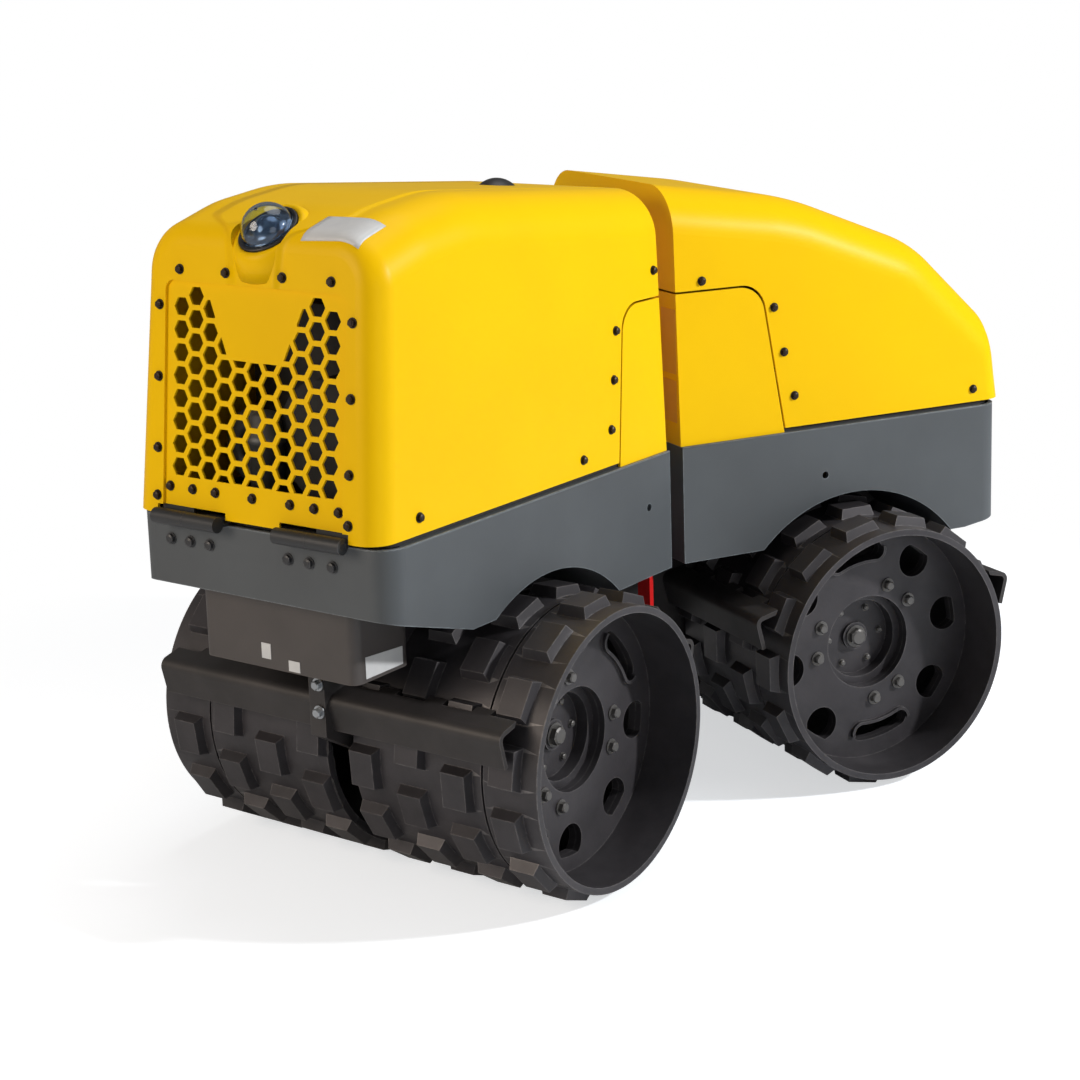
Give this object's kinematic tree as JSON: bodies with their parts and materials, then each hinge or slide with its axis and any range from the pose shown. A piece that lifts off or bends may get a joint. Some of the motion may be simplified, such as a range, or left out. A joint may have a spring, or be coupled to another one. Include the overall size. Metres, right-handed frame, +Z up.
{
  "type": "articulated trench roller",
  "caption": "Articulated padfoot trench roller: two drum-carrying halves with hinged hoods, hexagon grille, steering and roll hitch.",
  "frame": {"origin": "on the ground, below the middle of the whole machine's box as it stands", "axes": "+X forward along the front half, +Y to its left, +Z up; the rear half stands turned 28 degrees about the steering pin"},
  "size_m": [1.7344, 1.1006, 1.1948],
  "materials": {
    "gray_frame": "satin gray paint",
    "yellow_panels": "satin yellow paint",
    "dark_steel": "worn dark brown-gray paint",
    "hinge_steel": "dark gray",
    "red_paint": "satin red paint",
    "engine_iron": "dark, dusty",
    "clear_dome": "clear, slightly frosted",
    "black_plastic": "matte",
    "bare_steel": "bright",
    "drum_iron": "dark brown-gray, rolled smooth"
  },
  "bodies": {
    "front_half": {"front_frame": "gray_frame", "front_corner_panel": "yellow_panels", "front_lower_box": "dark_steel", "front_carrier": "dark_steel", "front_scrapers": "dark_steel", "front_hinge_frame": "hinge_steel", "lock_bar": "red_paint", "engine_block": "engine_iron"},
    "front_drums": {"front_axle": "drum_iron", "front_drum_left": "drum_iron", "front_drum_right": "drum_iron", "front_drum_ring_left": "drum_iron", "front_drum_ring_right": "drum_iron"},
    "front_cover": {"front_hood": "yellow_panels", "front_grille": "yellow_panels", "front_eye_dome": "clear_dome", "front_eye_core": "black_plastic", "front_low_dome": "black_plastic", "front_hinge_hood": "hinge_steel"},
    "hitch": {"hitch_link": "dark_steel", "lifting_eye": "dark_steel", "steering_pin": "bare_steel"},
    "rear_half": {"rear_frame": "gray_frame", "rear_corner_panel": "yellow_panels", "rear_lower_box": "dark_steel", "rear_carrier": "dark_steel", "rear_scrapers": "dark_steel", "rear_hinge_frame": "hinge_steel"},
    "rear_drums": {"rear_axle": "drum_iron", "rear_drum_left": "drum_iron", "rear_drum_right": "drum_iron", "rear_drum_ring_left": "drum_iron", "rear_drum_ring_right": "drum_iron"},
    "rear_cover": {"rear_hood": "yellow_panels", "rear_low_dome": "black_plastic", "rear_hinge_hood": "hinge_steel"},
    "cylinder_barrel": {"steering_barrel": "dark_steel"},
    "cylinder_rod": {"steering_rod": "bare_steel"}
  },
  "joints": [
    {"name": "roll", "type": "hinge", "parent": "front_half", "child": "hitch", "pos_m": [0.07419, -0.14032, 0.35], "axis": [1, 0, 0], "range_deg": [-8, 8]},
    {"name": "steer", "type": "hinge", "parent": "hitch", "child": "rear_half", "pos_m": [-0.0358, -0.14032, 0.35], "axis": [0, 0, 1], "range_deg": [-2, 58]},
    {"name": "front_drums_roll", "type": "hinge", "parent": "front_half", "child": "front_drums", "pos_m": [0.42219, -0.14032, 0.26], "axis": [0, 1, 0], "continuous": true},
    {"name": "rear_drums_roll", "type": "hinge", "parent": "rear_half", "child": "rear_drums", "pos_m": [-0.4402, 0.0747, 0.26], "axis": [0.4695, 0.8829, 0], "continuous": true},
    {"name": "front_hood_opens", "type": "hinge", "parent": "front_half", "child": "front_cover", "pos_m": [0.8542, -0.14032, 0.686], "axis": [0, 1, 0], "range_deg": [0, 75]},
    {"name": "rear_hood_opens", "type": "hinge", "parent": "rear_half", "child": "rear_cover", "pos_m": [-0.76159, 0.24559, 0.686], "axis": [-0.4695, -0.8829, 0], "range_deg": [0, 75]},
    {"name": "cylinder_swings", "type": "hinge", "parent": "rear_half", "child": "cylinder_barrel", "pos_m": [-0.24056, -0.0994, 0.405], "axis": [0, 0, 1], "range_deg": [-16.74, 0.69]},
    {"name": "cylinder_extends", "type": "slide", "parent": "cylinder_barrel", "child": "cylinder_rod", "axis": [0.8827, -0.4698, 0], "range_m": [-0.0861, 0.00345]}
  ],
  "couplings": [
    {"joint": "cylinder_swings", "follows": "steer", "ratio": -0.2867},
    {"joint": "cylinder_extends", "follows": "steer", "m_per_rad": -0.08456}
  ]
}
